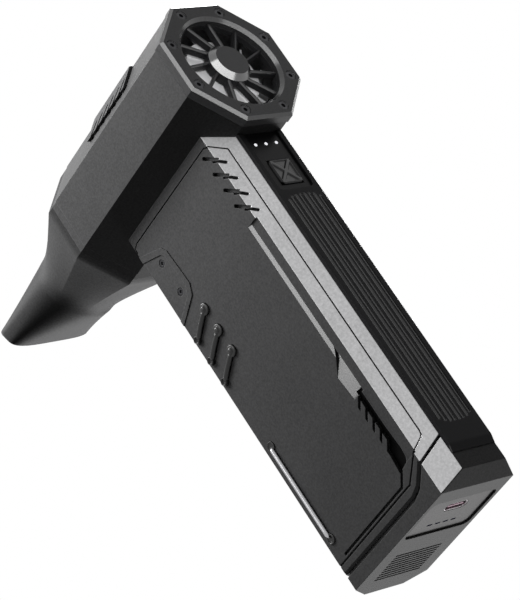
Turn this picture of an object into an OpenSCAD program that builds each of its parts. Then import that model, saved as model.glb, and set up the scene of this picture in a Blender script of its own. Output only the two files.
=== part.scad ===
// Cordless turbo blower for drying a car: an octagonal fan barrel across the top of a
// flat, chamfered battery handle that also serves as its foot, with a flattened nozzle.
// +Z is up along the handle, the nozzle points to -X and the air intake faces +X.
// The origin is the centre of the handle's flat foot.

/* [Handle] */
// Height of the barrel's axis above the foot
axis_h = 142.4; // [135:0.1:150]
// Width of the handle between its flat sides
handle_w = 29.2; // [27:0.2:31]
// Length of the flat foot along the barrel's direction, from front face to rear edge
foot_l = 49.6; // [48:0.2:52]
// Rear corner chamfer that carries the silver trim
rear_chamfer = 5.9; // [5:0.1:6.5]
// Front corner chamfer, measured along the foot
front_chamfer = 4.4; // [3:0.1:5]
// Wall thickness of the handle shells
shell_wall = 2.2; // [1.8:0.1:2.6]
// Width of the shadow gap above the foot cap
foot_gap = 1.1; // [0.5:0.1:1.2]
// How far the rear grip stands proud of the handle
grip_proud = 1; // [0.6:0.1:1.4]
// Number of long grooves in the rear grip
grip_grooves = 8; // [5:1:9]
// Number of air slots in the foot
foot_slots = 10; // [6:1:10]

/* [Barrel] */
// Width across the flats of the octagonal barrel
barrel_af = 42.8; // [42:0.2:44]
// Length of the barrel shell
barrel_l = 65.4; // [62:0.2:70]
// Inside radius of the air duct
duct_r = 16; // [15.5:0.1:16.2]
// Number of slanted slots on each shoulder of the barrel
shoulder_slots = 6; // [4:1:7]

/* [Intake] */
// Width across the flats of the intake ring
ring_af = 43.4; // [43:0.2:45]
// Thickness of the intake ring
ring_t = 3.5; // [3:0.1:4]
// Number of straight vanes in the intake guard
guard_vanes = 11; // [7:1:13]
// How far the guard's straight vanes pass beside the barrel's axis
guard_offset = 2; // [0:0.1:3]

/* [Fan] */
// Number of impeller blades
blades = 11; // [7:1:13]
// Angle that a blade winds round the hub from front to back
blade_wind = 46; // [30:1:50]
// Radius of the impeller's hub
hub_r = 12; // [11.2:0.1:12.4]
// Number of stator vanes, one of which becomes the cable strut
stator_vanes = 9; // [7:1:11]
// Radius of the motor shaft
shaft_r = 1.5; // [1.2:0.1:1.6]

/* [Nozzle] */
// Length of the nozzle from its seam to its mouth
nozzle_l = 53.25; // [45:0.25:60]
// Width of the flattened mouth
mouth_w = 31.4; // [28:0.2:34]
// Height of the flattened mouth
mouth_h = 10.2; // [9:0.1:12]
// Forward lean of the mouth per unit of height
mouth_lean = 0.27; // [0:0.01:0.3]
// Wall thickness of the nozzle
nozzle_wall = 1.5; // [1.2:0.1:1.8]

/* [Battery] */
// Radius of a battery cell
cell_r = 9.2; // [9:0.1:9.4]
// Length of a battery cell
cell_l = 65; // [64:0.5:66]

/* [Hidden] */
$fn = 48;
eps = 0.02;

// main planes of the handle
side_y = handle_w / 2;
front_x = -foot_l / 2;
edge_x = foot_l / 2;
rear_x = edge_x + rear_chamfer;
nose_y = 7.9;
// stations along the barrel
barrel_rear = 35;
barrel_front = barrel_rear - barrel_l;
ring_face = barrel_rear + ring_t;
collar_t = 2.6;
collar_front = barrel_front - collar_t;
barrel_bottom = axis_h - barrel_af / 2;
shell_bore = 18;
duct_out = 17.4;

plastic = [0.16, 0.16, 0.17];
satin = [0.62, 0.62, 0.63];
soft = [0.09, 0.09, 0.1];
steel = [0.72, 0.73, 0.75];
copper = [0.72, 0.42, 0.2];
board = [0.05, 0.3, 0.16];

// ---- helpers ----

// turns a shape drawn along +Z so that it lies along the barrel's axis, +Z becoming +X
module along_x(x) translate([x, 0, axis_h]) rotate([0, 90, 0]) children();

// octagonal bar along the barrel
module octagon_bar(af, x0, x1)
    along_x(x0) linear_extrude(x1 - x0) rotate(22.5) circle(r = af / 2 / cos(22.5), $fn = 8);

module round_bar(r, x0, x1) along_x(x0) cylinder(r = r, h = x1 - x0);

module tube(r_out, r_in, x0, x1) along_x(x0) difference() {
    cylinder(r = r_out, h = x1 - x0);
    translate([0, 0, -1]) cylinder(r = r_in, h = x1 - x0 + 2);
}

// turned part: profile points are [radius, place along X]
module turned(profile) translate([0, 0, axis_h]) rotate([0, 90, 0]) rotate_extrude() polygon(profile);

// convex outline drawn in by d on every edge
function outward(a, b) = let (d = b - a) [d.y, -d.x] / norm(d);
function drawn_in(pts, d) = [for (i = [0 : len(pts) - 1])
    let (n = len(pts), p = pts[i], a = outward(pts[(i + n - 1) % n], p), b = outward(p, pts[(i + 1) % n]))
    p - d * (a + b) / (1 + a * b)];

// plan outline of the handle, counter-clockwise
handle_plan = [
    [front_x, -nose_y], [front_x + front_chamfer, -side_y], [edge_x, -side_y], [rear_x, -side_y + rear_chamfer],
    [rear_x, side_y - rear_chamfer], [edge_x, side_y], [front_x + front_chamfer, side_y], [front_x, nose_y]];

module handle_prism(inset, z0, z1)
    translate([0, 0, z0]) linear_extrude(z1 - z0) polygon(drawn_in(handle_plan, inset));

// bar across the handle with a side-view outline of [x, z] points
module across(pts) translate([0, 40, 0]) rotate([90, 0, 0]) linear_extrude(80) polygon(pts);

// local frames: +Z leaves the near side face, or the near rear chamfer
module on_side() translate([0, -side_y, 0]) rotate([90, 0, 0]) children();
module on_chamfer() translate([edge_x, -side_y, 0]) rotate([0, 0, 45]) rotate([90, 0, 0]) children();
// makes the +Y twin of a part drawn on the -Y side
module other_side() mirror([0, 1, 0]) children();

// straight-sided groove through a list of points, cut to depth d below the local face
module groove(pts, w, d) for (i = [0 : len(pts) - 2]) let (a = pts[i], v = pts[i + 1] - a)
    translate([a.x, a.y, -d]) rotate(atan2(v.y, v.x)) translate([-w / 2, -w / 2, 0]) cube([norm(v) + w, w, d + 2]);

// slot with round ends
module slot(len, w, d) translate([0, 0, -d]) {
    translate([0, -w / 2, 0]) cube([len, w, d + 2]);
    cylinder(r = w / 2, h = d + 2, $fn = 24);
    translate([len, 0, 0]) cylinder(r = w / 2, h = d + 2, $fn = 24);
}

// closed skin through a list of equal rings of points; a thin ring is capped by strips across it,
// any other ring by a fan about its middle
module skin(rings, thin = false) {
    m = len(rings[0]);
    n = len(rings);
    z = (n - 1) * m;
    middle = function (r) [for (p = r) 1 / m] * r;
    polyhedron(points = concat([for (r = rings) each r], thin ? [] : [middle(rings[0]), middle(rings[n - 1])]),
        faces = concat(
            [for (i = [0 : n - 2], j = [0 : m - 1]) [i * m + j, (i + 1) * m + j, (i + 1) * m + (j + 1) % m]],
            [for (i = [0 : n - 2], j = [0 : m - 1]) [i * m + j, (i + 1) * m + (j + 1) % m, i * m + (j + 1) % m]],
            thin ? [for (j = [0 : m / 2 - 2]) each [[j, j + 1, m - 2 - j], [j, m - 2 - j, m - 1 - j],
                [z + j, z + m - 2 - j, z + j + 1], [z + j, z + m - 1 - j, z + m - 2 - j]]]
            : [for (j = [0 : m - 1]) each [[j, (j + 1) % m, n * m], [z + (j + 1) % m, z + j, n * m + 1]]]));
}

// ---- vanes and blades ----

// one vane between radii r0 and r1, with its leading edge at x0 and its trailing edge at x1.
// wind is the angle it turns about the axis on the way back, bow bends that turn,
// and sweep is the extra angle at its foot.
function vane_ring(r, x0, x1, wind, bow, lean, t, steps) =
    let (side = function (u) t / 2 * (0.25 + 0.75 * sqrt(sin(180 * min(1, u * 0.85 + 0.12)))),
        ang = function (u) lean + wind * pow(u, bow))
    concat(
        [for (k = [0 : steps]) let (u = k / steps, a = ang(u) - side(u) / r * 180 / PI)
            [x0 + (x1 - x0) * u, r * cos(a), r * sin(a)]],
        [for (k = [steps : -1 : 0]) let (u = k / steps, a = ang(u) + side(u) / r * 180 / PI)
            [x0 + (x1 - x0) * u, r * cos(a), r * sin(a)]]);

module vane(r0, r1, x0, x1, wind, bow, sweep, t, steps = 5, rows = 3) skin([for (i = [0 : rows])
    let (f = i / rows) vane_ring(r0 + (r1 - r0) * f, x0, x1, wind, bow, sweep * (1 - f), t, steps)], true);

module vane_row(n, phase = 0, skip = -1)
    translate([0, 0, axis_h]) for (k = [0 : n - 1]) if (k != skip) rotate([phase + 360 * k / n, 0, 0]) children();

// ---- barrel ----

// slanted slots on the near shoulder, in the plane of the barrel's diagonal face
module shoulder_cuts() for (k = [0 : shoulder_slots - 1])
    translate([11.1 - 3.6 * k, 0, axis_h]) rotate([-45, 0, 0]) translate([0, 0, barrel_af / 2 + 1])
        rotate(101) translate([-3.3, 0, 0]) slot(6.2, 1.3, 4.8);

module both_shoulders() {
    shoulder_cuts();
    other_side() shoulder_cuts();
}

screw_circle = 19.6;
module on_ring_screws() for (k = [0 : 7]) translate([0, 0, axis_h]) rotate([22.5 + 45 * k, 0, 0])
    translate([0, screw_circle, 0]) rotate([0, 90, 0]) children();

lead_x = 14;
module barrel_shell() color(plastic) difference() {
    octagon_bar(barrel_af, barrel_front, barrel_rear);
    round_bar(shell_bore, barrel_front - 1, barrel_rear + 1);
    both_shoulders();
    translate([lead_x, 0, barrel_bottom - 1]) cylinder(r = 2.2, h = 12);
    on_ring_screws() translate([0, 0, barrel_rear - 7]) cylinder(r = 0.75, h = 10, $fn = 24);
}

vent_x0 = -10.1;
vent_x1 = 13.4;
module shoulder_vent() color(plastic) difference() {
    octagon_bar(barrel_af + 1.8, vent_x0, vent_x1);
    octagon_bar(barrel_af, vent_x0 - 1, vent_x1 + 1);
    translate([vent_x0 - 1, -30, axis_h - 30]) cube([40, 60, 30 + 14]);
    both_shoulders();
    for (end = [0, 1]) translate([end ? vent_x1 : vent_x0, 0, axis_h + barrel_af / 2 + 0.9])
        rotate([0, 45, 0]) cube([0.8, 60, 0.8], center = true);
}

bore_bevel = 1;
ring_bevel = 0.86;
module intake_ring() color(plastic) difference() {
    octagon_bar(ring_af, barrel_rear, ring_face);
    // bevelled edge round the front face
    for (k = [0 : 7]) translate([ring_face - ring_bevel, 0, axis_h]) rotate([45 * k, 0, 0])
        translate([0, 0, ring_af / 2]) rotate([0, 45, 0]) translate([-3, -20, 0]) cube([8, 40, 4]);
    turned([[0, barrel_rear - 1], [duct_r, barrel_rear - 1], [duct_r, ring_face - bore_bevel],
        [duct_r + bore_bevel + 0.1, ring_face + 0.1], [0, ring_face + 0.1]]);
    round_bar(17.15, barrel_rear - 1, barrel_rear + 1);
    on_ring_screws() {
        translate([0, 0, barrel_rear - 1]) cylinder(r = 1.05, h = 10, $fn = 24);
        translate([0, 0, ring_face - 1.05]) cylinder(r1 = 1.05, r2 = 1.7, h = 0.8, $fn = 24);
        translate([0, 0, ring_face - 0.25]) cylinder(r = 1.7, h = 1, $fn = 24);
    }
}

// guard: a rim held under the ring, a bevelled hub, and straight vanes with a bevelled front edge
hub_bevel = 1.6;
guard_front = ring_face - hub_bevel - 0.1;
guard_back = barrel_rear - 0.8;
guard_hub = 6.9;
guard_vane_t = 1;
guard_vane_back = guard_back + 0.2;
guard_reach = duct_r - 0.2;
guard_root_x = barrel_rear - 0.6;
guard_root_r = duct_r + 0.6;
module guard_vane() translate([0, duct_r + 1, -guard_offset]) rotate([90, 0, 0])
    linear_extrude(duct_r + 2 - guard_hub) polygon([
        [guard_vane_back, -guard_vane_t / 2], [guard_front - 0.4, -guard_vane_t / 2],
        [guard_front, -guard_vane_t / 4], [guard_front, guard_vane_t / 4],
        [guard_front - 0.4, guard_vane_t / 2], [guard_vane_back, guard_vane_t / 2]]);
module intake_guard() color(plastic) {
    tube(17.1, duct_r - 0.15, barrel_rear - 0.7, barrel_rear + 1);
    turned([[0, guard_back], [guard_hub, guard_back], [guard_hub, ring_face - hub_bevel],
        [guard_hub - hub_bevel, ring_face], [0, ring_face]]);
    // the vanes fill the bore, and their roots reach into the rim
    intersection() {
        turned([[0, guard_back], [guard_reach, guard_back], [guard_reach, guard_root_x],
            [guard_root_r, guard_root_x], [guard_root_r, guard_root_x + 1.5], [guard_reach, guard_root_x + 1.5],
            [guard_reach, ring_face], [0, ring_face]]);
        vane_row(guard_vanes, 22.4) guard_vane();
    }
}

module ring_screws() color(soft) on_ring_screws() difference() {
    union() {
        translate([0, 0, barrel_rear - 6.5]) cylinder(r = 0.75, h = 8, $fn = 24);
        translate([0, 0, barrel_rear + 1]) cylinder(r = 1, h = ring_t - 2, $fn = 24);
        translate([0, 0, ring_face - 1.05 - eps]) cylinder(r1 = 1, r2 = 1.6, h = 0.8, $fn = 24);
    }
    translate([0, 0, ring_face - 0.9]) cylinder(r = 0.75, h = 1, $fn = 6);
}

duct_back = barrel_rear - 0.75;
module duct_tube() color(plastic) difference() {
    tube(duct_out, duct_r, barrel_front, duct_back);
    translate([lead_x, 0, axis_h - duct_out - 1]) cylinder(r = 2.2, h = 5);
}

module duct_dampers() color(soft) for (x = [-24, 26]) tube(shell_bore, duct_out, x, x + 3);

spigot_l = 9;
spigot_r = 16.9;
module front_collar() color(plastic) difference() {
    union() {
        octagon_bar(barrel_af - 0.4, collar_front, barrel_front);
        round_bar(spigot_r, collar_front - spigot_l, collar_front + 1);
    }
    round_bar(duct_r - 0.2, collar_front - spigot_l - 1, barrel_front + 1);
    tube(spigot_r + 1, spigot_r - 0.6, collar_front - 5.8, collar_front - 4.2);
}

module collar_seal() color(soft) turned([for (k = [0 : 23]) let (a = 15 * k)
    [spigot_r - 0.15 + 0.42 * cos(a), collar_front - 5 + 0.7 * sin(a)]]);

// ---- fan and motor ----

fan_front = 33.3;
fan_back = 22.9;
blade_bow = 1.25;
blade_sweep = 8;
blade_t = 1;
module impeller() color(steel) difference() {
    union() {
        turned([[0, fan_back], [hub_r, fan_back], [hub_r, fan_front - 0.4], [hub_r - 0.4, fan_front],
            [0, fan_front]]);
        vane_row(blades) vane(hub_r - 0.4, duct_r - 0.3, fan_front - 0.9, fan_back + 0.6, -blade_wind,
            blade_bow, -blade_sweep, blade_t);
    }
    round_bar(shaft_r, fan_back - 1, fan_front + 1);
    round_bar(2.9, fan_front - 0.6, fan_front + 1);
}

module impeller_nut() color(satin) along_x(fan_front - 0.6) difference() {
    cylinder(r = 2.7, h = 1.1, $fn = 6);
    translate([0, 0, -1]) cylinder(r = shaft_r, h = 3);
}

motor_front = 22;
motor_back = -2;
case_r = hub_r - 0.9;
module motor_shaft() color(steel) round_bar(shaft_r, motor_back + 0.05, fan_front + 0.4);

magnet_r = 5.4;
module rotor_magnet() color([0.3, 0.3, 0.32]) tube(magnet_r, shaft_r, 3, 17);

module motor_mount() color(plastic) difference() {
    union() {
        tube(hub_r, case_r, motor_back, motor_front);
        tube(duct_r - 0.05, duct_r - 0.8, 6, motor_front - 0.4);
        vane_row(stator_vanes, 90, skip = 0)
            rotate([180, 0, 0]) vane(hub_r - 0.3, duct_r - 0.4, motor_front - 0.8, 6.6, 26, 0.7, 0, 1);
        // strut that carries the motor's cable through the airway
        translate([lead_x, 0, axis_h - duct_r + 0.4]) linear_extrude(duct_r - hub_r)
            polygon([[-7, -0.6], [-3, -2.2], [3, -2.2], [7, -0.6], [7, 0.6], [3, 2.2], [-3, 2.2], [-7, 0.6]]);
    }
    translate([lead_x, 0, axis_h - duct_r - 1]) cylinder(r = 1.4, h = 8);
    round_bar(case_r, motor_back - 1, motor_front + 1);
}

module motor_case() color(steel) difference() {
    round_bar(case_r, motor_back, motor_front);
    round_bar(case_r - 0.8, motor_back + 1, motor_front - 1);
    round_bar(4, motor_back - 1, motor_front + 1);
    translate([lead_x, 0, axis_h - case_r - 1]) cylinder(r = 1.4, h = 3);
}

// laminated core with six wound teeth round the magnet
core_x0 = 3.5;
core_x1 = 16.5;
core_out = case_r - 0.85;
core_in = core_out - 1.3;
tooth_r = magnet_r + 0.4;
module motor_stator() {
    color(steel) tube(core_out, core_in, core_x0, core_x1);
    for (k = [0 : 5]) translate([0, 0, axis_h]) rotate([60 * k + 30, 0, 0]) {
        color(steel) translate([core_x0 + 0.5, tooth_r, -0.9])
            cube([core_x1 - core_x0 - 1, core_in + 0.2 - tooth_r, 1.8]);
        color(copper) translate([core_x0 - 1, tooth_r + 0.3, -1.6])
            cube([core_x1 - core_x0 + 2, core_in - 0.4 - tooth_r - 0.3, 3.2]);
    }
}

module motor_bearings() color(satin) for (x = [motor_back, motor_front - 1])
    tube(4, shaft_r + 0.02, x, x + 1);

module tail_cone() color(plastic) turned([[0, motor_back], [hub_r, motor_back],
    for (k = [1 : 9]) let (a = 9.5 * k) [hub_r * cos(a) * (1 - 0.1 * sin(a)), motor_back - 22 * sin(a)],
    [0, motor_back - 22]]);

module motor_leads() color([0.6, 0.1, 0.1])
    translate([lead_x, 0, barrel_bottom - 6]) cylinder(r = 1.3, h = axis_h - case_r - 0.3 - barrel_bottom + 6);

// ---- nozzle ----

cone_l = 23.4;
neck_l = 3.6;
neck_r0 = 13.2;
neck_r1 = 12.7;
straight_l = 2.5;
mouth_x = collar_front - nozzle_l;
ring_steps = 64;
function between(a, b, f) = a + (b - a) * f;
function oct_edge(a) = let (m = (a + 360 + 22.5) % 45 - 22.5) 1 / cos(m);
function signed_pow(v, e) = sign(v) * pow(abs(v), e);
// a ring of the nozzle: o goes from circle (0) to octagon (1), m from round (0) to the mouth's flat oval (1)
function nozzle_ring(x, r, o, m, w, h) = [for (i = [0 : ring_steps - 1])
    let (a = -360 * i / ring_steps, edge = r * between(1, oct_edge(a), o), e = 2 / 3,
        y = between(edge * cos(a), w / 2 * signed_pow(cos(a), e), m),
        z = between(edge * sin(a), h / 2 * signed_pow(sin(a), e), m))
    [x - mouth_lean * m * z, y, axis_h + z]];

module nozzle_skin(grow, start, run_out) {
    r0 = barrel_af / 2 - 0.2 + grow;
    cone_end = collar_front - straight_l - cone_l;
    neck_end = cone_end - neck_l;
    w = mouth_w + 2 * grow;
    h = mouth_h + 2 * grow;
    skin(concat(
        start,
        [for (k = [1 : 5]) let (f = k / 5) nozzle_ring(collar_front - straight_l - cone_l * f,
            between(r0, neck_r0 + grow, f), 1 - f, 0, w, h)],
        [nozzle_ring(neck_end, neck_r1 + grow, 0, 0, w, h)],
        [for (k = [1 : 7]) let (f = k / 7) nozzle_ring(between(neck_end, mouth_x, f), neck_r1 + grow, 0, f, w, h)],
        run_out ? [nozzle_ring(mouth_x - 4, neck_r1 + grow, 0, 1, w, h)] : []));
}

module nozzle() color(plastic) difference() {
    r0 = barrel_af / 2 - 0.2;
    nozzle_skin(0, [nozzle_ring(collar_front - eps, r0, 1, 0, 1, 1),
        nozzle_ring(collar_front - straight_l, r0, 1, 0, 1, 1)], false);
    difference() {
        nozzle_skin(-nozzle_wall, [nozzle_ring(collar_front - straight_l, r0 - nozzle_wall, 1, 0, 1, 1)], true);
        tube(40, duct_r, collar_front - spigot_l - 3, collar_front + 1);
    }
    round_bar(spigot_r + 0.3, collar_front - spigot_l - 0.3, collar_front + 1);
}

// ---- handle ----

// side view of the foot cap: low at the front, rising behind the silver corner
foot_view = [[-40, -1], [-40, 4.2], [15.6, 4.2], [19.4, 5.4], [24.6, 9.7], [31.2, 13.8], [40, 13.8], [40, -1]];
function lifted(pts, d) = [for (p = pts) p + [0, p.y > 0 ? d : 0]];

// what the leaning skirt under the rear face leaves away, raised by a lip's height
skirt_h = 2.7;
skirt_lip = 0.3;
module rear_skirt(rise = 0) translate([0, 0, rise]) across([[edge_x, -eps], [rear_x, skirt_h], [rear_x + 9, 5],
    [rear_x + 9, -3], [edge_x, -3]]);

// shallow rebate beside the trim, below the four edge slots; its long wall slopes
rebate_low = 13.6;
rebate_top = 96.4;
rebate_x = 20.8;
rebate_slope = 1.3;
rebate_d = 0.4;
module side_rebate() translate([0, -side_y, rebate_low]) linear_extrude(rebate_top - rebate_low)
    polygon([[rebate_x, -1], [rebate_x, 0], [rebate_x + rebate_slope, rebate_d], [edge_x + 3, rebate_d],
        [edge_x + 3, -1]]);

// bar that the silver trim fills along the near rear chamfer, and the pocket that takes it;
// beside the rebate both start further round the chamfer
trim_t = 0.7;
handle_top = 140;
module trim_bar(z0, z1, start = 0) translate([0, 0, z0]) linear_extrude(z1 - z0) polygon([
    [edge_x + start, -side_y + start], [rear_x, -side_y + rear_chamfer], [rear_x - trim_t, -side_y + rear_chamfer],
    [edge_x + start, -side_y + start + trim_t]]);
module pocket_bar(z0, z1, start = 0) translate([0, 0, z0]) linear_extrude(z1 - z0) polygon([
    [edge_x + start, -side_y + start + trim_t], [edge_x + start, -side_y - 5], [rear_x + 5, -side_y - 5],
    [rear_x + 5, -side_y + rear_chamfer], [rear_x - trim_t, -side_y + rear_chamfer]]);
module trim_pocket() {
    pocket_bar(-1, rebate_low);
    pocket_bar(rebate_low, rebate_top, rebate_d);
    pocket_bar(rebate_top, handle_top);
}

// four slanted slots that run over the edge on to the chamfer
edge_slot_tops = [121.9, 116, 110.1, 104.2];
module side_slots() for (z = edge_slot_tops)
    on_side() translate([rebate_x + 0.4, z - 0.3, 0]) rotate(-44) slot(5.2, 1.1, 1.2);
module chamfer_slots() for (z = edge_slot_tops)
    on_chamfer() translate([-0.6, z - 3.6, 0]) rotate(-44) slot(3.6, 1, 1.7);

panel_line_side = [[24.9, 122.6], [23.4, 123.6], [-18.6, 123.6], [-20, 122.9], [-20.2, 121.4]];
panel_line_chamfer = [[-0.6, 123.2], [0.4, 122.8], [4.6, 119], [4.6, 18.2], [4.4, 17.1],
    [3.8, 16.4], [-0.3, 13.9]];
panel_line_low = [[25.2, 14.1], [17.3, 8.5], [-22, 8.1]];
inner_line_low = [[17.6, 12.9], [14.4, 9.7], [-16, 9.4]];
module side_lines() on_side() {
    groove(panel_line_side, 0.4, 0.5);
    groove(panel_line_low, 0.6, 0.6);
    groove(inner_line_low, 0.9, 0.8);
}
// parts the trim from its inlay
module chamfer_line() on_chamfer() groove(panel_line_chamfer, 0.4, 1.1);

// serrated pocket low on the side: a long channel with slanted teeth, over a black pad
teeth = 5;
tooth_pitch = 3.7;
tooth_z = 33.4;
tooth_in = 19.5;
tooth_out = 17.3;
tooth_h = 1.4;
tooth_run = tooth_in - tooth_out;
pocket_d = 1.6;
pad_t = 0.4;
pocket_pts = concat(
    [[tooth_in, 38.6]],
    [for (k = [0 : teeth - 1]) let (z = tooth_z - tooth_pitch * k) each concat(
        [[tooth_in, z + tooth_run + tooth_h], [tooth_out, z + tooth_h], [tooth_out, z]],
        k < teeth - 1 ? [[tooth_in, z + tooth_run]] : [])],
    [[16.7, 12.8], [20.8, 13.6], [21.5, 14.8], [21.8, 17.5], [21.5, 25], [21.5, 38.6]]);
module serrated_pocket() on_side() translate([0, 0, -pocket_d]) linear_extrude(pocket_d + 1) polygon(pocket_pts);
module pocket_pad() on_side() translate([0, 0, -pocket_d]) linear_extrude(pad_t) polygon(pocket_pts);
module pocket_pad_left() color(soft) pocket_pad();
module pocket_pad_right() color(soft) other_side() pocket_pad();

// sloping facet above the pocket, which widens the rebate's wall
module side_facet() intersection() {
    translate([0, -side_y, 37.2]) linear_extrude(18)
        polygon([[17, -1], [17.2, 0], [rebate_x + rebate_slope, 1.3], [rebate_x + rebate_slope, -1]]);
    across([[17.3, 45.3], [17.8, 37], [23, 37], [23, 54.4], [20.8, 49.6]]);
}

plate_out = [[-26, 122.3], [-20.4, 120], [-11.2, 116], [-9.9, 113.8], [-9.2, 101.2], [-11, 98], [-20.8, 93.9],
    [-26, 91.8]];
plate_in = [[-26, 119.9], [-20.9, 117.9], [-12.8, 114.6], [-11.7, 113], [-11, 102], [-12.8, 99], [-21, 95.6],
    [-26, 93.5]];
hose_knobs = [[-10, 91.9], [-10, 84.2], [-10, 76.6]];
hose_run = [-8.6, -4.4];
hose_r = 0.95;
rod_x = -17.6;
rod_z = [15.6, 47.9];
rod_r = 0.7;
rod_lift = 0.45;

// straight length of a hose from its knob, and the rod between its sockets, each grown by a clearance
module hose_tube(grow) rotate(atan2(hose_run.y, hose_run.x)) translate([0.6, 0, 0]) rotate([0, 90, 0])
    cylinder(r = hose_r + grow, h = norm(hose_run) - 0.6, $fn = 32);
module rod_bar(grow) translate([rod_x, rod_z[0], rod_lift]) rotate([-90, 0, 0])
    cylinder(r = rod_r + grow, h = rod_z[1] - rod_z[0], $fn = 32);

// everything cut into the near side of the handle
module side_cuts() {
    side_lines();
    side_slots();
    side_rebate();
    side_facet();
    serrated_pocket();
    on_side() translate([0, 0, -0.6]) linear_extrude(2) polygon(plate_out);
    on_side() for (p = hose_knobs) translate([p.x, p.y, 0]) {
        translate([0, 0, -1.2]) cylinder(r = 1.9, h = 3, $fn = 32);
        translate([hose_run.x, hose_run.y, -1.2]) cylinder(r = 1.3, h = 3, $fn = 32);
        hose_tube(0.1);
    }
    on_side() {
        for (z = rod_z) translate([rod_x, z, -1.2]) cylinder(r = 1.6, h = 3, $fn = 32);
        rod_bar(0.1);
    }
}

// wide shadow gap just above the foot cap, cut only into the outer part of the wall, and the
// bevel on the shell's edge above it
gap_bevel = 0.7;
module foot_shadow_gap() {
    difference() {
        across(lifted(foot_view, foot_gap));
        handle_prism(1.1, -2, 40);
    }
    on_side() for (i = [1 : 3]) let (a = foot_view[i], v = foot_view[i + 1] - a)
        translate([a.x, a.y + foot_gap, 0]) rotate(atan2(v.y, v.x)) rotate([45, 0, 0])
            translate([-0.1, -gap_bevel / sqrt(2), -gap_bevel / sqrt(2)])
                cube([norm(v) + 0.2, gap_bevel * sqrt(2), gap_bevel * sqrt(2)]);
}

board_x = 24.6;
board_t = 1.6;
module handle_half() difference() {
    intersection() {
        handle_prism(0, 0, 135);
        translate([-50, -50, 0]) cube([100, 50, 150]);
    }
    octagon_bar(barrel_af, -60, 60);
    across(foot_view);
    handle_prism(shell_wall, -1, barrel_bottom - 2.5);
    translate([lead_x, 0, barrel_bottom - 10]) cylinder(r = 2.2, h = 20);
    trim_pocket();
    foot_shadow_gap();
    side_cuts();
    chamfer_line();
    chamfer_slots();
    // openings behind the control panel and the button
    translate([rear_x - 0.6, -6.5, 99.9]) cube([5, 13, 30]);
    translate([rear_x - 5, -5.2, 100.9]) cube([10, 10.4, 10.8]);
    // rails for the control board
    translate([board_x, -11.4, 92]) cube([board_t, 22.8, 24]);
}

module handle_shell_left() color(plastic) handle_half();
module handle_shell_right() color(plastic) other_side() handle_half();

module edge_trim() difference() {
    union() {
        trim_bar(5, rebate_low);
        trim_bar(rebate_low, rebate_top, rebate_d);
        trim_bar(rebate_top, handle_top);
    }
    octagon_bar(barrel_af, -60, 60);
    across(lifted(foot_view, foot_gap));
    chamfer_line();
    side_slots();
    chamfer_slots();
}
module edge_trim_left() color(satin) edge_trim();
module edge_trim_right() color(satin) other_side() edge_trim();

plate_screw_x = -14.3;
plate_screw_z = [112.6, 101.9];
module corner_plate() difference() {
    intersection() {
        union() {
            on_side() translate([0, 0, -0.6]) linear_extrude(0.6) polygon(plate_in);
            // raised bead that frames the plate
            on_side() translate([0, 0, -0.6]) linear_extrude(0.85) difference() {
                polygon(plate_out);
                polygon(plate_in);
            }
        }
        union() {
            handle_prism(0, 80, 130);
            translate([front_x + front_chamfer, -40, 80]) cube([30, 40, 50]);
        }
    }
    on_side() for (z = plate_screw_z) translate([plate_screw_x, z, -1]) cylinder(r = 1.25, h = 3, $fn = 32);
}
module corner_plate_left() color(plastic) corner_plate();
module corner_plate_right() color(plastic) other_side() corner_plate();

module plate_screw() difference() {
    translate([0, 0, -0.6]) cylinder(r = 1.2, h = 0.5, $fn = 32);
    translate([0, 0, -0.45]) cylinder(r = 0.55, h = 1, $fn = 6);
}
module side_screws() on_side() for (z = plate_screw_z) translate([plate_screw_x, z, 0]) plate_screw();
module plate_screws() color(steel) {
    side_screws();
    other_side() side_screws();
}

// three short plugged hoses, each from a round knob to its socket
module hoses() on_side() for (p = hose_knobs) translate([p.x, p.y, 0]) {
    translate([0, 0, -1.2]) cylinder(r = 1.85, h = 1.9, $fn = 32);
    translate([0, 0, 0.7]) cylinder(r1 = 1.25, r2 = 0.8, h = 0.6, $fn = 32);
    hose_tube(0);
    translate([hose_run.x, hose_run.y, -1.2]) cylinder(r = 1.25, h = 2.2, $fn = 32);
}
module side_hoses_left() color(soft) hoses();
module side_hoses_right() color(soft) other_side() hoses();

// long bright rod held by a socket at each end
module rod() on_side() {
    for (z = rod_z) translate([rod_x, z, -1.2]) cylinder(r = 1.55, h = 1.6, $fn = 32);
    rod_bar(0);
}
module side_rod_left() color(satin) rod();
module side_rod_right() color(satin) other_side() rod();

// ---- grips and controls ----

grip_z0 = 8;
grip_w = 2 * (side_y - rear_chamfer);
rib_z0 = 17;
rib_z1 = 97.6;
rib_pitch = 1.75;
groove_w = 0.8;
recess_w = 13.2;
recess_z = 99.9;
module rear_grip() color(soft) difference() {
    translate([rear_x, -grip_w / 2, grip_z0]) cube([grip_proud, grip_w, barrel_bottom - grip_z0 - 0.05]);
    // the outer grooves are a little shorter than the middle ones
    for (k = [0 : grip_grooves - 1])
        let (y = (k - (grip_grooves - 1) / 2) * rib_pitch, drop = 1.5 * pow(abs(y) / 6.2, 3))
        translate([rear_x + grip_proud - 0.5, y - groove_w / 2, rib_z0 + drop])
            cube([1, groove_w, rib_z1 - rib_z0 - 2 * drop]);
    translate([rear_x - 1, -recess_w / 2, recess_z]) cube([grip_proud + 2, recess_w, 40]);
    for (s = [-1, 1]) translate([rear_x + grip_proud, s * grip_w / 2, 60]) rotate(45)
        cube([0.7, 0.7, 140], center = true);
    // its lower end tapers off
    across([[rear_x + 0.3, grip_z0 - 0.5], [rear_x + 0.3, grip_z0], [rear_x + grip_proud, grip_z0 + 2.4],
        [rear_x + grip_proud + 1, grip_z0 + 2.4], [rear_x + grip_proud + 1, grip_z0 - 0.5]]);
}

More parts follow.
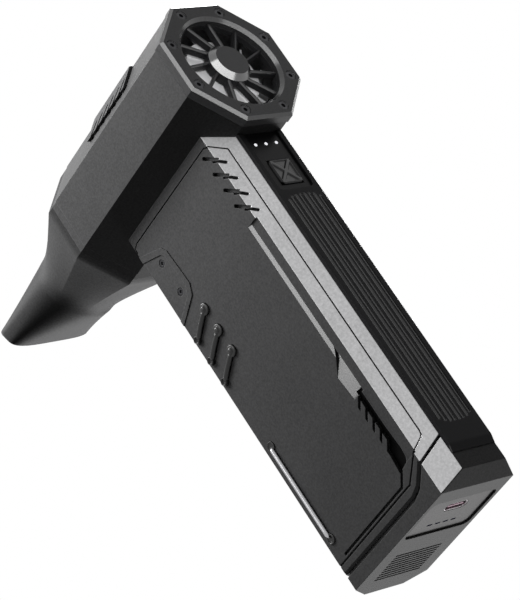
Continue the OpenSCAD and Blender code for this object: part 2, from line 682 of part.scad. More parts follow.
module front_grip() color(soft) difference() {
    translate([front_x - 0.6, -6.6, 14]) cube([0.6, 13.2, 96]);
    for (k = [0 : 11]) translate([front_x - 0.6, 0, 22 + 7 * k]) rotate([0, 45, 0])
        cube([0.6, 20, 0.6], center = true);
    for (s = [-1, 1]) translate([front_x - 0.6, s * 6.6, 60]) rotate(45) cube([0.5, 0.5, 140], center = true);
}

button_z = 106.25;
button_w = 8.2;
button_h = 8.6;
light_z = 116.8;
light_y = [-4.1, 0, 4.1];
light_r = 0.48;
module control_panel() color([0.07, 0.07, 0.08]) difference() {
    translate([rear_x - 0.6, -6.45, recess_z + 0.05]) cube([1, 12.9, barrel_bottom - recess_z - 0.1]);
    translate([rear_x - 2, -button_w / 2 - 0.25, button_z - button_h / 2 - 0.25])
        cube([5, button_w + 0.5, button_h + 0.5]);
    for (y = light_y) translate([rear_x - 2, y, light_z]) rotate([0, 90, 0])
        cylinder(r = light_r + 0.02, h = 4, $fn = 24);
}

module status_lights() color([0.95, 0.95, 0.95]) for (y = light_y)
    translate([rear_x - 0.6, y, light_z]) rotate([0, 90, 0]) cylinder(r = light_r, h = 1.15, $fn = 24);

// square key with a raised cross of bevelled bars on its face
button_face = rear_x + grip_proud;
module power_button() color(plastic) {
    difference() {
        translate([rear_x - 0.65, -button_w / 2, button_z - button_h / 2]) cube([1.65, button_w, button_h]);
        for (a = [45, 135, 225, 315]) translate([button_face, 0, button_z]) rotate([a, 0, 0])
            translate([0, 1.1, 0]) rotate([0, -8, 0]) translate([-0.45, 0, -1.4]) cube([2, 3.2, 2.8]);
        for (s = [-1, 1]) {
            translate([button_face, s * button_w / 2, button_z]) rotate(45) cube([0.5, 0.5, 20], center = true);
            translate([button_face, 0, button_z + s * button_h / 2]) rotate([0, 45, 0])
                cube([0.5, 20, 0.5], center = true);
        }
    }
    // flange that keeps the key in, and the stem that works the switch
    translate([rear_x - 1.65, -button_w / 2 - 0.7, button_z - button_h / 2 - 0.7])
        cube([1.01, button_w + 1.4, button_h + 1.4]);
}

button_travel = 0.8;
module button_switch() color(steel) translate([board_x + board_t, 0, button_z]) {
    translate([0, -3, -3]) cube([1.6, 6, 6]);
    rotate([0, 90, 0]) cylinder(r = 1.6, h = rear_x - 1.65 - button_travel - 0.05 - board_x - board_t);
}

module control_board() color(board) translate([board_x, -11.3, 92.1]) cube([board_t, 22.6, 23.8]);

// ---- foot ----

panel_x0 = 2.9;
panel_x1 = 19;
panel_y = 12.9;
panel_z = 0.6;
panel_t = 1.2;
usb_x = 14.2;
usb_w = 8.94;
usb_h = 3.26;
led_x = 6.6;
led_y = [-4.8, -1.6, 1.6, 4.8];

// rounded bar for the socket and its opening
module usb_bar(grow, z0, z1) translate([usb_x, 0, z0]) {
    r = usb_h / 2 + grow;
    translate([-r, -(usb_w - usb_h) / 2, 0]) cube([2 * r, usb_w - usb_h, z1 - z0]);
    for (s = [-1, 1]) translate([0, s * (usb_w - usb_h) / 2, 0]) cylinder(r = r, h = z1 - z0, $fn = 32);
}

module panel_bar(grow, z0, z1) {
    r = 2 + grow;
    x0 = panel_x0 - grow;
    x1 = panel_x1 + grow;
    y = panel_y + grow;
    translate([x0 + r, -y, z0]) cube([x1 - x0 - 2 * r, 2 * y, z1 - z0]);
    translate([x0, -y + r, z0]) cube([x1 - x0, 2 * (y - r), z1 - z0]);
    for (x = [x0 + r, x1 - r], s = [-1, 1]) translate([x, s * (y - r), z0]) cylinder(r = r, h = z1 - z0, $fn = 32);
}

foot_t = 2.4;
module foot_cap() color(plastic) difference() {
    intersection() {
        handle_prism(0, 0, 16);
        across(foot_view);
    }
    handle_prism(shell_wall, foot_t, 20);
    rear_skirt();
    for (side = [0, 1]) mirror([0, side, 0]) difference() {
        trim_pocket();
        rear_skirt(skirt_lip);
    }
    for (k = [0 : foot_slots - 1]) translate([-17.9 + 1.3 * k, -9.3, -1]) cube([0.65, 18.6, 5]);
    panel_bar(0.2, -1, panel_z + panel_t);
    panel_bar(-1.6, 1, 5);
}

module foot_trim() difference() {
    intersection() {
        trim_bar(0, rebate_low);
        across(foot_view);
    }
    rear_skirt(skirt_lip);
}
module foot_trim_left() color(satin) foot_trim();
module foot_trim_right() color(satin) other_side() foot_trim();

module charge_panel() color([0.2, 0.19, 0.2]) difference() {
    panel_bar(0, panel_z, panel_z + panel_t);
    usb_bar(0.05, -1, 3);
    for (y = led_y) translate([led_x - 0.35, y - 1, -1]) cube([0.7, 2, 4]);
}

module charge_lights() color([0.75, 0.8, 1]) for (y = led_y)
    translate([led_x - 0.33, y - 0.98, panel_z + 0.05]) cube([0.66, 1.96, 2]);

module usb_socket() color(steel) {
    difference() {
        usb_bar(0, panel_z + 0.1, board_z);
        usb_bar(-0.35, -1, board_z - 0.6);
    }
    translate([usb_x - 0.35, -3.35, 1.6]) cube([0.7, 6.7, 5.2]);
}

board_z = 7;
module charge_board() color(board)
    translate([-2, -side_y + shell_wall + 0.05, board_z]) cube([24, 2 * (side_y - shell_wall) - 0.1, board_t]);

// ---- battery ----

cell_z = 23;
cell_x = [-12.6, 6.6];
module battery_cells() color([0.15, 0.35, 0.6]) for (x = cell_x) translate([x, 0, cell_z]) {
    cylinder(r = cell_r, h = cell_l);
    translate([0, 0, cell_l - eps]) cylinder(r = 2.8, h = 0.8);
}

module cell_holder() color([0.2, 0.2, 0.2]) difference() {
    for (z = [cell_z - 2, cell_z + cell_l - 2]) intersection() {
        handle_prism(shell_wall + 0.1, z, z + 4);
        translate([-40, -40, z - 1]) cube([56.8, 80, 6]);
    }
    for (x = cell_x) {
        translate([x, 0, cell_z]) cylinder(r = cell_r + 0.1, h = cell_l);
        translate([x, 0, cell_z - 5]) cylinder(r = 4, h = cell_l + 10);
    }
}

barrel_shell();
shoulder_vent();
intake_ring();
intake_guard();
ring_screws();
duct_tube();
duct_dampers();
front_collar();
collar_seal();
nozzle();
impeller();
impeller_nut();
motor_shaft();
rotor_magnet();
motor_mount();
motor_case();
motor_stator();
motor_bearings();
tail_cone();
motor_leads();
handle_shell_left();
handle_shell_right();
edge_trim_left();
edge_trim_right();
corner_plate_left();
corner_plate_right();
plate_screws();
side_hoses_left();
side_hoses_right();
side_rod_left();
side_rod_right();
rear_grip();
front_grip();
control_panel();
status_lights();
power_button();
button_switch();
control_board();
pocket_pad_left();
pocket_pad_right();
foot_cap();
foot_trim_left();
foot_trim_right();
charge_panel();
charge_lights();
usb_socket();
charge_board();
battery_cells();
cell_holder();
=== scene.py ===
import bmesh
import bpy
import numpy as np
from mathutils import Matrix, Vector


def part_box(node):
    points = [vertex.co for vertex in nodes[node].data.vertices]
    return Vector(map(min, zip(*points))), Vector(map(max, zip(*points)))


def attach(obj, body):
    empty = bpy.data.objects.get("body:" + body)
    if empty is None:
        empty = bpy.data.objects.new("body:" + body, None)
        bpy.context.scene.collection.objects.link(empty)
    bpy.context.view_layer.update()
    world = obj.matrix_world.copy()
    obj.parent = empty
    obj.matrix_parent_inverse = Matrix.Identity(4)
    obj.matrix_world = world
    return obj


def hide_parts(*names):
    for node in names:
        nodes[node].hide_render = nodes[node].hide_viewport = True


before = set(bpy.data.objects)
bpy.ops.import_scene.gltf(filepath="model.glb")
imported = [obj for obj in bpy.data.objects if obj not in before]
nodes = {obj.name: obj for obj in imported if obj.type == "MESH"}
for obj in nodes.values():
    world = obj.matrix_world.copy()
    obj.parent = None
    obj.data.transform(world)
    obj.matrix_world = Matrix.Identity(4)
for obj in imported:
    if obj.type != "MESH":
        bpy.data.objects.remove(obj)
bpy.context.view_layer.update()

# ---- Camera ----
# A long lens looks up at the blower from below its foot, off the side with the hoses,
# rolled so that the barrel leans over to the left.
camera = bpy.data.objects.new("camera", bpy.data.cameras.new("camera"))
bpy.context.scene.collection.objects.link(camera)
camera.data.sensor_fit = "HORIZONTAL"
camera.data.sensor_width = 36
camera.data.lens = 186.614
camera.data.clip_start = 0.01
right = Vector((0.47903, 0.7139, -0.51076))
up = Vector((0.62944, 0.1262, 0.76673))
back = right.cross(up)
eye = Vector((0.469221, -0.532231, -0.212898))
camera.matrix_world = Matrix.Translation(eye) @ Matrix((right, up, back)).transposed().to_4x4()
bpy.context.scene.camera = camera


# ---- Floor and light ----
# A pale floor that is seen from above only, so that the foot can be looked at from below, and
# soft boxes round the blower, each placed where one set of its faces mirrors it. Most are
# flagged, so that they light only the pieces that they are meant for.
class Value:
    """An output of a material's nodes, so that patterns can be written as sums and products."""

    def __init__(self, tree, socket):
        self.tree = tree
        self.socket = socket

    def math(self, operation, *others):
        """Result of a math node on this value and others, which may be plain numbers."""
        made = self.tree.nodes.new("ShaderNodeMath")
        made.operation = operation
        for place, item in zip(made.inputs, (self, *others)):
            if isinstance(item, Value):
                self.tree.links.new(item.socket, place)
            else:
                place.default_value = item
        return Value(self.tree, made.outputs[0])

    def __add__(self, other):
        return self.math("ADD", other)

    def __mul__(self, other):
        return self.math("MULTIPLY", other)

    def __sub__(self, other):
        return self.math("SUBTRACT", other)

    def __rsub__(self, other):
        return self * -1 + other

    __radd__ = __add__
    __rmul__ = __mul__

    def between(self, low, high):
        """0 below low and 1 above high, with a straight rise between."""
        return ((self - low) * (1 / (high - low))).math("MAXIMUM", 0).math("MINIMUM", 1)


class Finish:
    """A material with one shader, and the one way in which its nodes are made."""

    def __init__(self, name, **sockets):
        self.material = bpy.data.materials.new(name)
        self.material.use_nodes = True
        self.tree = self.material.node_tree
        self.shader = self.tree.nodes["Principled BSDF"]
        for socket, value in sockets.items():
            self.feed(socket.replace("_", " "), value)

    def node(self, kind, settings=None, sockets=None, output=0):
        """One output of a new node, with its settings made and its sockets linked or set."""
        made = self.tree.nodes.new(kind)
        for key, value in (settings or {}).items():
            if key == "stops":
                for stop, (place, colour) in zip(made.color_ramp.elements, value):
                    stop.position = place
                    stop.color = (*colour, 1)
            else:
                setattr(made, key, value)
        for key, value in (sockets or {}).items():
            if isinstance(value, Value):
                self.tree.links.new(value.socket, made.inputs[key])
            else:
                made.inputs[key].default_value = value
        return Value(self.tree, made.outputs[output])

    def feed(self, socket, value):
        """Links a pattern to a socket of the shader, or sets the socket to a number."""
        place = self.shader.inputs[socket]
        if isinstance(value, Value):
            self.tree.links.new(value.socket, place)
        else:
            place.default_value = value

    def place(self):
        """Place on the piece in metres."""
        return self.node("ShaderNodeTexCoord", output="Object")

    def noise(self, size, detail=2, rough=0.5):
        """Cloudy pattern from 0 to 1 whose patches are about size metres across."""
        sockets = {"Vector": self.place(), "Scale": 1 / size, "Detail": detail, "Roughness": rough}
        return self.node("ShaderNodeTexNoise", None, sockets)

    def tint(self, low, high, mask):
        """Colour that runs from low to high as mask goes from 0 to 1."""
        return self.node("ShaderNodeValToRGB", {"stops": [(0, low), (1, high)]}, {0: mask})

    def relief(self, height, depth, soften=None):
        """Bump from a height pattern, depth metres deep, over edges softened by a small radius."""
        sockets = {"Height": height, "Distance": depth, "Strength": 1}
        if soften:
            sockets["Normal"] = self.node("ShaderNodeBevel", {"samples": 4}, {"Radius": soften})
        self.feed("Normal", self.node("ShaderNodeBump", None, sockets))


def pale_floor():
    """Pale paper for a camera ray that comes from above, and clear for every other ray."""
    pale = (0.86, 0.86, 0.86, 1)
    made = Finish("floor_paper", Base_Color=pale, Roughness=0.9, Emission_Color=pale, Emission_Strength=0.4)
    grain = made.noise(0.002, 3)
    made.feed("Roughness", 0.85 + 0.1 * grain)
    seen = made.node("ShaderNodeLightPath", output="Is Camera Ray")
    below = made.node("ShaderNodeNewGeometry", output="Backfacing")
    clear = made.node("ShaderNodeBsdfTransparent")
    mix = made.node("ShaderNodeMixShader", None, {0: seen * (1 - below), 1: clear})
    made.tree.links.new(made.shader.outputs[0], mix.socket.node.inputs[2])
    made.tree.links.new(mix.socket, made.tree.nodes["Material Output"].inputs[0])
    return made.material


floor_half, floor_z = 3, -0.0005
floor_corners = [(x * floor_half, y * floor_half, floor_z) for x, y in ((-1, -1), (1, -1), (1, 1), (-1, 1))]
floor_mesh = bpy.data.meshes.new("floor")
floor_mesh.from_pydata(floor_corners, [], [(0, 1, 2, 3)])
floor = bpy.data.objects.new("floor", floor_mesh)
bpy.context.scene.collection.objects.link(floor)
floor.data.materials.append(pale_floor())

world = bpy.data.worlds.new("studio")
bpy.context.scene.world = world
world.use_nodes = True
sky = world.node_tree
path = sky.nodes.new("ShaderNodeLightPath")
ray_kinds = ("Is Camera Ray", "Is Glossy Ray", "Is Transmission Ray")
seen, mirrored_ray, through = (Value(sky, path.outputs[kind]) for kind in ray_kinds)
white = seen.math("MAXIMUM", mirrored_ray).math("MAXIMUM", through)
dim = 0.04
sky.links.new((white * (1 - dim) + dim).socket, sky.nodes["Background"].inputs["Strength"])
sky.nodes["Background"].inputs["Color"].default_value = (1, 1, 1, 1)

blower_middle = Vector((0, 0, 0.09))
guard_middle = Vector((0.038, 0, 0.1424))


def soft_box(name, towards, side, power, away=1.1):
    """Square soft box at a distance from the blower's middle, turned to face it."""
    lamp = bpy.data.lights.new(name, "AREA")
    lamp.shape = "SQUARE"
    lamp.size = side
    lamp.energy = power
    made = bpy.data.objects.new(name, lamp)
    towards = Vector(towards).normalized()
    turn = towards.to_track_quat("Z", "Y").to_matrix().to_4x4()
    made.matrix_world = Matrix.Translation(blower_middle + towards * away) @ turn
    bpy.context.scene.collection.objects.link(made)
    return made


def flag(lamp, state, *things):
    """Lets the lamp light these things only, or all but these, as flags do in a studio."""
    group = bpy.data.collections.new(lamp.name)
    for thing in things:
        group.objects.link(thing)
    for held in group.collection_objects:
        held.light_linking.link_state = state
    lamp.light_linking.receiver_collection = group


key_light = soft_box("key_light", (-0.093, -0.147, 0.261), 0.15, 1.4, 0.314)
flag(soft_box("floor_light", (0, 0, 1), 1.5, 14, 1.5), "INCLUDE", floor)
soft_box("foot_light", (-0.5, 0.62, -0.6), 0.5, 5)
flag(soft_box("far_light", (-0.35, 0.75, 0.55), 0.6, 12), "EXCLUDE", floor)
soft_box("rear_light", (0.612, 0.689, 0.389), 0.5, 0.7)
strip_light = soft_box("strip_light", (-0.13, -0.91, 0.39), 0.22, 1.5)


def mirrored_view(angle):
    """Where a bevel of the bore mirrors the camera, for its angle round the barrel's axis."""
    normal = Vector((1, -np.cos(angle), -np.sin(angle))).normalized()
    return 2 * normal.dot(back) * normal - back


def long_box(name, start, end, power, width=0.2, away=1.1):
    """Long narrow soft box between two directions from the guard."""
    lamp = bpy.data.lights.new(name, "AREA")
    lamp.shape = "RECTANGLE"
    lamp.size = away * (end - start).length
    lamp.size_y = width
    lamp.energy = power * lamp.size
    made = bpy.data.objects.new(name, lamp)
    ahead, out = (end - start).normalized(), (start + end).normalized()
    turn = Matrix((ahead, out.cross(ahead), out)).transposed().to_4x4()
    made.matrix_world = Matrix.Translation(guard_middle + out * away) @ turn
    bpy.context.scene.collection.objects.link(made)
    return made


bevel_angles = np.radians((-12, 3, 18, 33, 48, 64))
views = [mirrored_view(angle) for angle in bevel_angles]
for k, (start, end) in enumerate(zip(views, views[1:])):
    ring_light = long_box(f"ring_light_{k}", start, end, 4.2)
    flag(ring_light, "INCLUDE", nodes["intake_ring"], nodes["intake_guard"])

bpy.context.scene.view_settings.view_transform = "Standard"


# ---- Barrel ----
# The octagonal barrel, its front collar and the raised vent across its shoulders are moulded in
# dark grey nylon with a fine spark texture, and their corners are lighter, partly from wear and
# partly from a painted edge highlight.
def moulded(
    name, colour, rough, grain=0.0006, depth=0.00001, soften=0.00025, wear_and_highlight=2.6, gloss=0.055, polish=None
):
    """Moulded plastic: fine grain, faint clouds of tone, and lighter corners from wear and painted
    highlight.

    A corner's mask is one minus the cosine between the flat normal and the softened one, and the
    lighter corners that it gives are partly wear and partly a painted edge highlight. Where polish
    is given, as the least and the most X of a normal and a height, the faces that lean so are
    polished from that height up.
    """
    made = Finish(name, Specular_IOR_Level=gloss)
    fine = made.noise(grain, 3, 0.6)
    cloud = made.noise(0.02, 3)
    soft = made.node("ShaderNodeBevel", {"samples": 4}, {"Radius": soften * 1.3})
    flat = made.node("ShaderNodeNewGeometry", output="Normal")
    dot = {"operation": "DOT_PRODUCT"}
    level = made.node("ShaderNodeVectorMath", dot, {0: soft, 1: flat}, output="Value")
    # Lighter corners: partly wear, partly a painted highlight for light caught along the edges.
    worn_and_highlit = (1 - level).between(0.01, 0.16) * made.noise(0.004, 3).between(0.3, 0.7)
    tone = (0.35 + 0.3 * cloud + fine) * (1 + (wear_and_highlight - 1) * worn_and_highlit)
    least_tone, most_tone = 0.5, 1.6
    low = tuple(c * least_tone for c in colour)
    high = tuple(c * most_tone for c in colour)
    mask = (tone - least_tone) * (1 / (most_tone - least_tone))
    made.feed("Base Color", made.tint(low, high, mask))
    coarse = rough - 0.05 + 0.1 * fine - 0.08 * worn_and_highlit
    if polish:
        least, most, bottom = polish
        lean = made.node("ShaderNodeSeparateXYZ", None, {0: flat}, output="X")
        rise = made.node("ShaderNodeSeparateXYZ", None, {0: made.place()}, output="Z")
        polished = lean.between(least, least + 0.05) * (1 - lean.between(most - 0.05, most))
        polished = polished * rise.between(bottom, bottom + 0.001)
        made.feed("Coat Weight", polished)
        made.shader.inputs["Coat Roughness"].default_value = 0.2
        coarse = coarse * (1 - 0.5 * polished)
    made.feed("Roughness", coarse)
    made.relief(fine, depth, soften)
    return made.material


def dress(finish, *names):
    """Gives solids of the frame a finish."""
    for name in names:
        mesh = nodes[name].data
        mesh.materials.clear()
        mesh.materials.append(finish)


nylon = moulded("dark_nylon", (0.085, 0.085, 0.086), 0.42, gloss=0.03)
dress(nylon, "barrel_shell", "shoulder_vent", "front_collar", "duct_tube", "motor_mount", "tail_cone")
seal_rubber = moulded("seal_rubber", (0.01, 0.01, 0.01), 0.55, wear_and_highlight=1.2)
dress(seal_rubber, "duct_dampers", "collar_seal")

# ---- Intake ring and guard ----
# The ring that closes the rear of the barrel is moulded in darker nylon, and the vaned guard in
# its bore in nylon darker still, painted shade for the dim inside of the bore. Their bevels are
# polished. Eight black countersunk screws hold the ring.
dress(moulded("ring_nylon", (0.034, 0.034, 0.035), 0.42, polish=(0.5, 0.9, 0)), "intake_ring")
# The guard's very dark colour is painted shade for the inside of the bore.
bore_shade_nylon = moulded("bore_shade_nylon", (0.018, 0.018, 0.019), 0.42, gloss=0.12, polish=(0.5, 0.9, 0))
bore_shade_nylon.node_tree.nodes["Principled BSDF"].inputs["Coat IOR"].default_value = 2
dress(bore_shade_nylon, "intake_guard")


def blasted(name, colour, rough, grain=0.0008, spread=0.5, metal=1.0):
    """Bead-blasted metal: a fine speckle in tone, roughness and height."""
    made = Finish(name, Metallic=metal)
    speck = made.noise(grain, 3, 0.7)
    cloud = made.noise(0.015, 2)
    low = tuple(c * (1 - spread) for c in colour)
    high = tuple(min(1, c * (1 + spread)) for c in colour)
    made.feed("Base Color", made.tint(low, high, 0.75 * speck + 0.25 * cloud))
    made.feed("Roughness", rough - 0.06 + 0.12 * speck)
    made.relief(speck, 0.00003, 0.0002)
    return made.material


dress(blasted("black_oxide", (0.03, 0.03, 0.032), 0.4), "ring_screws", "plate_screws")


# ---- Impeller ----
# The fan wheel is milled from aluminium: a wide hub with a flat polished face and eleven cambered
# blades that wind round it and thin towards both edges. Its nut is turned steel.
mm = 0.001
fan_low, fan_high = (Vector(corner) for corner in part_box("impeller"))
axis_z = (fan_low.z + fan_high.z) / 2


def grid_faces(rows, columns, wrap_rows, wrap_columns=True):
    """Quads of a grid of points, by corner numbers; either direction may close on itself."""
    i, j = np.meshgrid(
        np.arange(rows if wrap_rows else rows - 1),
        np.arange(columns if wrap_columns else columns - 1),
        indexing="ij",
    )
    row, next_row = i * columns, (i + 1) % rows * columns
    across = (j + 1) % columns
    return np.stack((row + j, row + across, next_row + across, next_row + j), -1)


def solid(points, wrap_rows=False):
    """A closed part from a grid of points (rows, columns, 3) that closes round its columns."""
    rows, columns = points.shape[:2]
    return points.reshape(-1, 3), grid_faces(rows, columns, wrap_rows).reshape(-1, 4)


def slab(front, rear, cells=None):
    """A closed part between two grids of points of one size, over all cells or those of a mask.

    Every side of a cell that has no cell beside it gets a wall from the front to the rear.
    """
    rows, columns = front.shape[:2]
    count = rows * columns
    faces = grid_faces(rows, columns, False, False)
    if cells is None:
        cells = np.ones(faces.shape[:2], bool)
    beside = np.pad(cells, 1)
    kept = faces[cells]
    parts = [kept, kept[:, ::-1] + count]
    for k, (down, across) in enumerate(((-1, 0), (0, 1), (1, 0), (0, -1))):
        bare = cells & ~beside[1 + down : rows + down, 1 + across : columns + across]
        start, end = faces[bare][:, k], faces[bare][:, (k + 1) % 4]
        parts.append(np.stack((start, start + count, end + count, end), -1))
    points = np.concatenate((front.reshape(-1, 3), rear.reshape(-1, 3)))
    return points, np.concatenate(parts)


def build(name, body, slot, finish, parts, *replaced, sharp=35):
    """One piece from closed parts, in the frame's metres.

    A part whose signed volume, the sum of a . (b x c) / 6 over its triangles, is below zero has
    its faces turned over, so that all of them point outwards. Points that fall together, as at a
    pole, are merged, and points without a face are left out.
    """
    points, faces, start = [], [], 0
    for place, corners in parts:
        a, b, c, d = (place[corners[:, k]] for k in range(4))
        volume = (a * (np.cross(b, c) + np.cross(c, d))).sum()
        points.append(place)
        faces.append((corners if volume > 0 else corners[:, ::-1]) + start)
        start += len(place)
    mesh = bpy.data.meshes.new(name)
    mesh.from_pydata(np.concatenate(points).tolist(), [], np.concatenate(faces).tolist())
    merged = bmesh.new()
    merged.from_mesh(mesh)
    bmesh.ops.remove_doubles(merged, verts=merged.verts, dist=1e-7)
    loose = [point for point in merged.verts if not point.link_faces]
    bmesh.ops.delete(merged, geom=loose, context="VERTS")
    merged.to_mesh(mesh)
    merged.free()
    mesh.shade_smooth()
    mesh.set_sharp_from_angle(angle=np.radians(sharp))
    mesh.materials.append(finish)
    piece = bpy.data.objects.new(name, mesh)
    bpy.context.scene.collection.objects.link(piece)
    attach(piece, body)
    if replaced:
        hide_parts(*replaced)
    return piece


def turned(profile, sides=96):
    """Surface of revolution about the barrel's axis; profile rows are (radius, place along X)."""
    radius, x = np.asarray(profile, float).T[:, :, None]
    angle = np.linspace(0, 2 * np.pi, sides, endpoint=False)[None]
    return np.stack((x + 0 * angle, radius * np.cos(angle), axis_z + radius * np.sin(angle)), -1)


blade_count, chord_points = 11, 25
blade_turn, root_lead, blade_half = np.radians(46), np.radians(8), 0.5 * mm


def wheel_blade(turn, hub_r, tip_r, front_x, back_x):
    """A cambered blade, as section loops laid on cylinders from the hub to the tip.

    Along the chord u from 0 to 1 the camber line turns about the axis by 46 u^1.25 degrees, and
    the root leads the tip by 8 degrees. Half the thickness is 0.5 mm times
    0.25 + 0.75 sqrt(sin(pi (0.85 u + 0.12))), and it closes at both ends of the span.
    """
    chord = np.linspace(0, 1, chord_points)
    loop = np.concatenate((chord, chord[::-1]))
    side = np.concatenate((-np.ones(chord_points), np.ones(chord_points)))
    half = blade_half * (0.25 + 0.75 * np.sqrt(np.sin(np.pi * np.minimum(1, 0.85 * loop + 0.12))))
    span = np.concatenate(([0], np.linspace(0, 1, 9), [1]))[:, None]
    open_end = np.concatenate(([0], np.ones(9), [0]))[:, None]
    radius = hub_r + (tip_r - hub_r) * span
    angle = turn - root_lead * (1 - span) - blade_turn * loop**1.25
    angle = angle + open_end * side * half / radius
    x = front_x + (back_x - front_x) * loop + 0 * radius
    return np.stack((x, radius * np.cos(angle), axis_z + radius * np.sin(angle)), -1)


hub_r, tip_r = 12 * mm, (fan_high.y - fan_low.y) / 2
face_x, heel_x = fan_high.x, fan_low.x
hub_profile = np.array(
    [
        (1.5 * mm, heel_x),
        (hub_r - 0.3 * mm, heel_x),
        (hub_r, heel_x + 0.3 * mm),
        (hub_r, face_x - 0.4 * mm),
        (hub_r - 0.12 * mm, face_x - 0.12 * mm),
        (hub_r - 0.4 * mm, face_x),
        (3.1 * mm, face_x),
        (2.9 * mm, face_x - 0.2 * mm),
        (2.9 * mm, face_x - 0.6 * mm),
        (1.5 * mm, face_x - 0.6 * mm),
    ]
)
wheel = [solid(turned(hub_profile), wrap_rows=True)]
for k in range(blade_count):
    turn = 2 * np.pi * k / blade_count
    blade = wheel_blade(turn, hub_r - 0.4 * mm, tip_r, face_x - 0.9 * mm, heel_x + 0.6 * mm)
    wheel.append(solid(blade))
milled = blasted("milled_alloy", (0.75, 0.75, 0.76), 0.5, grain=0.0006, spread=0.1, metal=0.4)
fan_wheel = build("fan_wheel", "rotor", "fan", milled, wheel, "impeller")

# A small spot 0.4 m away reaches through the guard on to the fan.
spot = bpy.data.lights.new("fan_light", "SPOT")
spot.energy = 7
spot.spot_size = np.radians(6)
spot.spot_blend = 0.6
spot.shadow_soft_size = 0.02
fan_light = bpy.data.objects.new("fan_light", spot)
aim = Vector((0.75, -0.5, -0.3)).normalized()
aimed_at = Vector((0.038, -0.008, 0.139))
facing = aim.to_track_quat("Z", "Y").to_matrix().to_4x4()
fan_light.matrix_world = Matrix.Translation(aimed_at + aim * 0.4) @ facing
bpy.context.scene.collection.objects.link(fan_light)
flag(fan_light, "INCLUDE", fan_wheel)

# ---- Motor ----
# Brushless motor in the duct: turned steel case, shaft and bearings, a ring magnet, and
# enamelled copper windings on a laminated core.
steel = blasted("plain_steel", (0.5, 0.5, 0.52), 0.3)
dress(steel, "impeller_nut", "motor_shaft", "rotor_magnet", "motor_case", "motor_bearings")
dress(blasted("wound_copper", (0.7, 0.36, 0.2), 0.35), "motor_stator")


# ---- Nozzle ----
# One hollow moulding in satin grey nylon: an octagonal cone that blends into a round neck and
# then flattens towards a leaning mouth. It is pushed over the collar's spigot.
def octagon_angles(steps):
    """Angles round the octagon, closer together towards its corners.

    Within a side, the angle from its middle is 22.5 degrees times sin of an even step.
    """
    within = np.pi / 8 * np.sin(np.pi * (np.arange(steps) / steps - 0.5))
    return (np.arange(8)[:, None] * np.pi / 4 + within).ravel()


def nozzle_rings(x, radius, corner, mouth, width, height, lean):
    """Rings of the nozzle, one for each station.

    A ring is a circle whose radius is divided by the cosine from its side's middle as far as
    corner goes to 1, and turns into the flat oval |y|^4 + |z|^4 = 1 as far as mouth goes to 1.
    Its points lean forward by lean times their height over the axis.
    """
    angle = octagon_angles(16)[None]
    within = (angle + np.pi / 8) % (np.pi / 4) - np.pi / 8
    x, radius, corner, mouth, width, height = (
        np.asarray(item, float)[:, None] for item in (x, radius, corner, mouth, width, height)
    )
    edge = radius * (1 - corner + corner / np.cos(within))
    cos, sin = np.cos(angle), np.sin(angle)
    y = (1 - mouth) * edge * cos + mouth * width / 2 * np.sign(cos) * np.sqrt(np.abs(cos))
    z = (1 - mouth) * edge * sin + mouth * height / 2 * np.sign(sin) * np.sqrt(np.abs(sin))
    return np.stack((x - lean * mouth * z, y, axis_z + z), -1)


seam_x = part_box("front_collar")[1][0] - 2.6 * mm
cone_r, neck_r, wall, lip = 21.2 * mm, 12.8 * mm, 1.5 * mm, 0.35 * mm
straight, cone_end, neck_end = 2.5 * mm, 25.9 * mm, 29.5 * mm
mouth_w, mouth_h, mouth_lean = 31.4 * mm, 10.2 * mm, 0.27
blend, run = 0.6 * mm, 53.25 * mm


def nozzle_skin(back, grow):
    """Rings at distances back from the seam, drawn in or out by grow.

    The radius falls along the cone and settles on the neck's as neck + k log(1 + e^(d / k)),
    where d is how far the cone still stands over the neck and k is the length called blend.
    """
    back = np.asarray(back, float)
    grow = grow + 0 * back
    down = np.clip((back - straight) / (cone_end - straight), 0, None)
    over = (cone_r - neck_r) * (1 - down)
    radius = neck_r + blend * np.logaddexp(0, over / blend)
    mouth = np.clip((back - neck_end) / (run - neck_end), 0, 1) ** 1.06
    corner = np.clip(1 - down, 0, 1)
    return nozzle_rings(
        seam_x - back, radius + grow, corner, mouth, mouth_w + 2 * grow, mouth_h + 2 * grow, mouth_lean
    )


outside = np.concatenate(
    (
        np.linspace(0, straight, 3),
        np.linspace(straight, neck_end, 30)[1:],
        np.linspace(neck_end, run - lip, 28)[1:],
    )
)
quarter = np.linspace(0, np.pi / 2, 5)[1:]
inside = np.concatenate((np.linspace(run - lip, neck_end, 26), np.linspace(neck_end, 14 * mm, 14)[1:]))
# The socket that takes the spigot, as rows of (distance from the seam, radius).
socket_back, socket_r = (np.array([(9.3, 16.0), (9.3, 17.2), (0.02, 17.2)]) * mm).T
zero = np.zeros(3)
nozzle_points = np.concatenate(
    (
        nozzle_skin(outside, 0),
        nozzle_skin(run - lip + lip * np.sin(quarter), lip * (np.cos(quarter) - 1)),
        nozzle_skin(run - lip + lip * np.cos(quarter), -wall + lip * (1 - np.sin(quarter))),
        nozzle_skin(inside, -wall),
        nozzle_rings(seam_x - socket_back, socket_r, zero, zero, zero, zero, 0),
    )
)
satin_nylon = moulded("satin_nylon", (0.08, 0.08, 0.081), 0.5, depth=0.000006, gloss=0.01)
nozzle_parts = [solid(nozzle_points, wrap_rows=True)]
nozzle = build("blower_nozzle", "nozzle_body", "nozzle", satin_nylon, nozzle_parts, "nozzle")
flag(key_light, "EXCLUDE", nozzle, floor)
barrel_parts = [nodes[name] for name in ("barrel_shell", "shoulder_vent", "front_collar")]
flag(strip_light, "EXCLUDE", nozzle, *barrel_parts)
flag(soft_box("nozzle_light", (-0.33, -0.14, 0.37), 0.15, 3, 0.45), "INCLUDE", nozzle)
flag(soft_box("nose_light", (-0.82, 0.42, -0.38), 0.25, 4.3, 0.6), "INCLUDE", nozzle)
